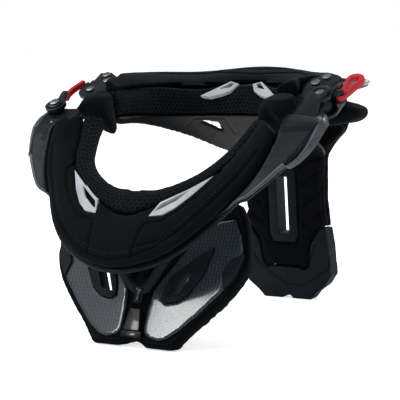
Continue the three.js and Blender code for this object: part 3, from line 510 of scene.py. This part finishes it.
# Frames: carbon fibre cloth laid up in a mould, under a thin satin lacquer. It gives small squares
# of dark grey, drawn 2.4 mm wide, and soft bright edges.
def carbon_material(name, deep, bright, tow, coat, turn=(0, 0, 0)):
    """Plain-woven carbon tows, the given width in mm, under lacquer, each drawn with painted shade
    across it.
    """
    material = bpy.data.materials.new(name)
    material.use_nodes = True
    tree = material.node_tree
    shader = tree.nodes["Principled BSDF"]
    shader.inputs["Roughness"].default_value = 0.42
    shader.inputs["Specular IOR Level"].default_value = 0.06
    shader.inputs["Coat Weight"].default_value = coat
    shader.inputs["Coat Roughness"].default_value = 0.09
    place = add(tree, "ShaderNodeTexCoord").outputs["Object"]
    turned = add(tree, "ShaderNodeMapping", {"Vector": place, "Rotation": turn,
                                             "Scale": [1 / (tow * MM)] * 3})
    tows = add(tree, "ShaderNodeSeparateXYZ", {"Vector": turned.outputs["Vector"]})
    waves = [add(tree, "ShaderNodeMath", {0: tows.outputs[axis]}, operation="FRACT").outputs[0]
             for axis in "XZ"]
    arches = []
    for wave in waves:
        hump = add(tree, "ShaderNodeMath", {0: wave, 1: 0.5}, operation="SUBTRACT")
        arches.append(add(tree, "ShaderNodeMath", {0: hump.outputs[0], 1: hump.outputs[0]},
                          operation="MULTIPLY").outputs[0])
    cells = [add(tree, "ShaderNodeMath", {0: tows.outputs[axis]}, operation="FLOOR").outputs[0]
             for axis in "XZ"]
    total = add(tree, "ShaderNodeMath", {0: cells[0], 1: cells[1]}, operation="ADD")
    parity = add(tree, "ShaderNodeMath", {0: total.outputs[0], 1: 2.0}, operation="FLOORED_MODULO")
    arch = add(tree, "ShaderNodeMix", {0: parity.outputs[0], 2: arches[0], 3: arches[1]})
    height = add(tree, "ShaderNodeMath", {0: arch.outputs[0], 1: -4.0, 2: 1.0},
                 operation="MULTIPLY_ADD")
    fibre = add(tree, "ShaderNodeTexNoise", {"Vector": place, "Scale": 900.0, "Detail": 3.0})
    # Painted shade: adding the tow's height lightens each tow along its crown and darkens it towards
    # its sides, as light falls on a rounded tow; the parity adds the weave's checker pattern.
    shade = add(tree, "ShaderNodeMath", {0: parity.outputs[0], 1: 0.35, 2: height.outputs[0]},
                operation="MULTIPLY_ADD")
    strand = add(tree, "ShaderNodeMath", {0: fibre.outputs["Fac"], 1: 0.35, 2: shade.outputs[0]},
                 operation="MULTIPLY_ADD")
    ramp = add(tree, "ShaderNodeValToRGB", {"Fac": strand.outputs[0]})
    ramp.color_ramp.elements[0].color = linear(deep)
    ramp.color_ramp.elements[0].position = 0.35
    ramp.color_ramp.elements[1].color = linear(bright)
    relief = add(tree, "ShaderNodeBump", {"Height": height.outputs[0], "Strength": 0.35,
                                          "Distance": 0.0002})
    tree.links.new(ramp.outputs["Color"], shader.inputs["Base Color"])
    tree.links.new(relief.outputs["Normal"], shader.inputs["Normal"])
    return material


frame_carbon = carbon_material("lacquered_carbon_weave", "#040507", "#191E24", 2.4, 0.1)
for node in ("front_frame", "rear_frame"):
    carrier = copy_of(node)
    remeshed(carrier, 1.5, 3)
    carrier.data.materials.append(frame_carbon)
    rides(carrier, node)


# Chest plates: flat carbon plates, bonded to the backing, under a deep gloss lacquer that mirrors
# the lamps. The tows are drawn 3 mm wide, coarser than the real ones, so that the weave shows.
plate_carbon = carbon_material("lacquered_plate_carbon", "#07090B", "#3B424A", 3.0, 0.6,
                               (math.radians(14), 0, 0))
for side in ("left", "right"):
    plate = copy_of("chest_plate_" + side)
    remeshed(plate, 0.9, 4)
    plate.data.materials.append(plate_carbon)
    rides(plate, "chest_plate_" + side)


# Foot cap: a satin elastomer shoe, moulded over the end of the back plate, with a sunk line round
# its face. Dark grey and slightly clouded.
def moulded_material(name, dark, light, roughness, grain, bump, coat=0.0, metallic=0.0):
    """An injection-moulded plastic or a paint: slight cloudiness, a fine grain and painted shade in
    pressed lines.
    """
    material = bpy.data.materials.new(name)
    material.use_nodes = True
    tree = material.node_tree
    shader = tree.nodes["Principled BSDF"]
    shader.inputs["Metallic"].default_value = metallic
    shader.inputs["Coat Weight"].default_value = coat
    shader.inputs["Coat Roughness"].default_value = 0.1
    shader.inputs["Specular IOR Level"].default_value = 0.5 if metallic else 0.12
    place = add(tree, "ShaderNodeTexCoord").outputs["Object"]
    cloud = add(tree, "ShaderNodeTexNoise", {"Vector": place, "Scale": 60.0, "Detail": 6.0})
    pits = add(tree, "ShaderNodeTexNoise", {"Vector": place, "Scale": 1 / (grain * MM),
                                            "Detail": 2.0})
    ramp = add(tree, "ShaderNodeValToRGB", {"Fac": cloud.outputs["Fac"]})
    ramp.color_ramp.elements[0].color, ramp.color_ramp.elements[0].position = linear(dark), 0.3
    ramp.color_ramp.elements[1].color, ramp.color_ramp.elements[1].position = linear(light), 0.7
    polish = add(tree, "ShaderNodeMapRange", {"Value": cloud.outputs["Fac"],
                                              "To Min": roughness - 0.08,
                                              "To Max": roughness + 0.08})
    relief = add(tree, "ShaderNodeBump", {"Height": pits.outputs["Fac"], "Strength": bump,
                                          "Distance": 0.0002})
    # Painted shade: the pressed lines are darkened towards near black, standing in for the shade in
    # their grooves.
    painted_seam_shade = add(tree, "ShaderNodeAttribute", attribute_name="painted_seam_shade").outputs["Fac"]
    shadow = add(tree, "ShaderNodeMix", {0: painted_seam_shade, 7: linear("#020203")}, data_type="RGBA")
    tree.links.new(ramp.outputs["Color"], shadow.inputs[6])
    tree.links.new(shadow.outputs[2], shader.inputs["Base Color"])
    tree.links.new(polish.outputs["Result"], shader.inputs["Roughness"])
    tree.links.new(relief.outputs["Normal"], shader.inputs["Normal"])
    return material


elastomer = moulded_material("satin_elastomer", "#10141A", "#1A2028", 0.55, 0.45, 0.3)
cap = copy_of("back_foot_cap")
remeshed(cap, 1.1, 2)
cap.data.materials.append(elastomer)
rides(cap, "back_foot_cap")
cap_line = shifted([(-30.2, 165, 57.9), (-26.1, 167.4, 50.5), (-20.6, 173.8, 29.6),
                    (-13.2, 171.7, 30), (6, 167, 29), (22, 161, 31), (26.2, 160.4, 38.1),
                    (33, 164, 55), (42.1, 172.9, 67.3)])
cap_foot = shifted([(44.8, 160.9, 42), (44.8, 160.9, 32.3), (31, 161.5, 21), (16.9, 162.6, 13),
                    (1.4, 162.6, 13.4), (-23.3, 161.3, 28.1), (-33, 162, 41)])
press(cap, [cap_line, cap_foot], 1.1, 1.1)


# Rear shell and back plate: satin shells of glass-filled nylon with a fine spark-eroded grain, which
# hang from the rear frame. A sunk line runs by the shell's windows and down the plate's sides.
nylon = moulded_material("moulded_glass_nylon", "#080A0D", "#0E1216", 0.5, 0.5, 0.25)
window_line = shifted([(53.7, 80.5, 163.3), (45.5, 76.2, 169.2), (19.5, 85.8, 169.8),
                       (24.4, 112.6, 155)])
plate_line = [(52, 146, 150), (44, 150, 138), (40, 150, 110), (40, 152, 80)]
for node, line in (("rear_lower_shell", window_line), ("back_plate", plate_line)):
    shell = copy_of(node)
    remeshed(shell, 1.5, 2)
    shell.data.materials.append(nylon)
    rides(shell, node)
    press(shell, both([line]), 0.7, 1.2)


# Arm cover: a rounded cap of polished nylon lies over the hinge on top of the left arm, with a well
# for the hinge screw. It is 2.2 mm thick.
gloss_nylon = moulded_material("polished_nylon", "#0C0E11", "#171B20", 0.3, 0.6, 0.04, 0.3)


def crisp(piece, width):
    """Rounds the piece's hard edges with a narrow bevel and smooths its faces between them."""
    edge = piece.modifiers.new("edge", "BEVEL")
    edge.width, edge.segments, edge.limit_method = width * MM, 2, "ANGLE"
    edge.angle_limit = math.radians(30)
    edge.harden_normals = False
    apply_modifiers(piece)
    piece.data.shade_smooth()
    mesh = bmesh.new()
    mesh.from_mesh(piece.data)
    for line in mesh.edges:
        line.smooth = line.calc_face_angle(0) < math.radians(38)
    mesh.to_mesh(piece.data)
    mesh.free()


hinge = (Matrix.Translation(Vector((111, -12.77, 197.13)) * MM)
         @ Matrix.Rotation(math.radians(30), 4, "X"))
cover_outline = [(-11.5, -40), (-12, -26), (-10.5, -12), (-9, -2), (-7, 4.5), (-1.5, 8), (5, 6.5),
                 (8.5, 1), (8.5, -8), (7.5, -16), (10, -26), (13, -40)]
slab = bmesh.new()
rim = slab.faces.new([slab.verts.new(Vector((x, y, 0.35)) * MM) for x, y in cover_outline])
top = bmesh.ops.extrude_face_region(slab, geom=[rim])
top_verts = [v for v in top["geom"] if isinstance(v, bmesh.types.BMVert)]
bmesh.ops.translate(slab, verts=top_verts, vec=Vector((0, 0, 2.2 * MM)))
bmesh.ops.recalc_face_normals(slab, faces=slab.faces)
bmesh.ops.transform(slab, matrix=hinge, verts=slab.verts)
cover = bpy.data.objects.new("arm_cover", bpy.data.meshes.new("arm_cover"))
slab.to_mesh(cover.data)
slab.free()
scene.collection.objects.link(cover)
well = bmesh.new()
bmesh.ops.create_cone(well, cap_ends=True, segments=48, radius1=4.3 * MM, radius2=4.3 * MM,
                      depth=30 * MM, matrix=hinge)
tool = bpy.data.objects.new("screw_well", bpy.data.meshes.new("screw_well"))
well.to_mesh(tool.data)
well.free()
scene.collection.objects.link(tool)
hole = cover.modifiers.new("hole", "BOOLEAN")
hole.operation, hole.object = "DIFFERENCE", tool
apply_modifiers(cover)
bpy.data.objects.remove(tool)
crisp(cover, 0.9)
cover.data.materials.append(gloss_nylon)
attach(cover, "front")


# Chest windows and wedges: elastomer frames pressed into the plates' and the back plate's windows,
# and plain wedges at the outer corners of the chest. Edges rounded by 0.8 mm.
def finished(nodes, material, width, shape=None):
    """Copies of the nodes, shaped and with edges rounded by the width in mm, in one material."""
    for node in nodes:
        part = copy_of(node)
        if shape:
            shape(part)
        crisp(part, width)
        part.data.materials.append(material)
        rides(part, node)


finished(("back_window_frame", "chest_window_frame_left", "chest_window_frame_right",
          "chest_wedge_left", "chest_wedge_right"), elastomer, 0.8)


# Hinge and latch fittings, the chest buckle and its foot bar: polished nylon mouldings, nearly black,
# whose rounded edges draw small bright lines.
finished(("clevis_left", "clevis_right", "latch_knob", "latch_link", "chest_buckle",
          "chest_foot_bar"), gloss_nylon, 0.4)


# Inserts: vents of silver-painted plastic, let into the front pad and the rear collar.
silver_paint = moulded_material("silver_paint", "#A4A9AF", "#BEC2C8", 0.4, 0.8, 0.06)
finished(("front_insert_left", "front_insert_right", "rear_insert_left", "rear_insert_right"),
         silver_paint, 0.3)


# Arm lips: blades of smoke-grey paint along the outer edge of either arm, which taper towards the
# front. From them a thin bead of the same grey runs along the arm's lower edge: a painted highlight.
lip_paint_and_rim_highlight = moulded_material("smoke_grey_paint_and_rim_highlight", "#3E444B", "#535A62", 0.3, 0.8, 0.04, 0.3)


def tapered(lip):
    """Draws the lip's front 30 mm up to the level of the painted rim highlight."""
    for vert in lip.data.vertices:
        share = max(0, min(1, (-62 * MM - vert.co.y) / (30 * MM)))
        vert.co.z += (144.5 * MM - vert.co.z) * 0.75 * share ** 1.5


finished(("arm_lip_left", "arm_lip_right"), lip_paint_and_rim_highlight, 0.3, tapered)


def welt(name, carrier, lines, radius, material, proud, thin=1.0):
    """Round beads along lines on a piece, which may thin towards their far end."""
    curve = bpy.data.curves.new(name, "CURVE")
    curve.dimensions = "3D"
    curve.bevel_depth, curve.bevel_resolution, curve.use_fill_caps = radius * MM, 3, True
    for line in lines:
        spots = laid(carrier, line, 1.6)
        path = [point + normal * proud * MM for point, normal in spots]
        for _ in range(3):
            inner = [(a + 2 * b + c) / 4 for a, b, c in zip(path, path[1:], path[2:])]
            path = [path[0]] + inner + [path[-1]]
        spline = curve.splines.new("POLY")
        spline.points.add(len(path) - 1)
        for i, (point, place) in enumerate(zip(spline.points, path)):
            point.co = (*place, 1)
            point.radius = 1 + (thin - 1) * i / len(path)
    holder = bpy.data.objects.new(name + "_curve", curve)
    scene.collection.objects.link(holder)
    shape = settled(holder)
    bpy.data.objects.remove(holder)
    piece = bpy.data.objects.new(name, shape)
    scene.collection.objects.link(piece)
    piece.data.shade_smooth()
    piece.data.materials.clear()
    piece.data.materials.append(material)
    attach(piece, carrier["body"])


# Painted highlight: this bead along the arm's lower rim stands for light caught on that edge, drawn
# in the lip's grey.
arm_rim_highlight_line = [(119, -90.3, 145.7), (115.3, -95, 142), (112.3, -98.3, 138.7), (106.6, -104.1, 132.2),
            (101, -109.4, 126), (96.6, -112.1, 122.7), (91, -113, 120.4), (81, -112.9, 112.9),
            (74.6, -117.5, 107), (68.5, -122, 101.5)]
welt("painted_arm_rim_highlight", bpy.data.objects["dressed_front_frame"], both([arm_rim_highlight_line]), 1.9,
     lip_paint_and_rim_highlight, -0.5, 0.25)


# Rear rim: a narrow bead of the silver paint runs along the outer rim of the rear frame on either
# side.
rear_rim = [(121, 7, 201), (126.5, 16, 202.5), (129, 27.2, 203), (127, 42, 204), (122, 54, 204.5),
            (114, 67, 205)]
welt("rear_rim_beads", bpy.data.objects["dressed_rear_frame"], both([rear_rim]), 1.8,
     silver_paint, -0.4)


# Screws and the latch ring: satin steel, with domed heads.
steel_plate = moulded_material("satin_steel", "#8A8F96", "#A9AEB5", 0.3, 0.4, 0.15, 0.0, 1.0)
finished(("hinge_screw", "cap_screw", "latch_ring", "flange_screw_left_1", "flange_screw_left_2",
          "flange_screw_right_1", "flange_screw_right_2"), steel_plate, 0.2)


# Levers: the latch band and the release loop, moulded in red nylon with a soft gloss, so that they
# are found at a glance.
red_nylon = moulded_material("red_nylon", "#B01C2A", "#C72836", 0.35, 0.6, 0.1, 0.3)
finished(("latch_band", "release_loop"), red_nylon, 0.4)
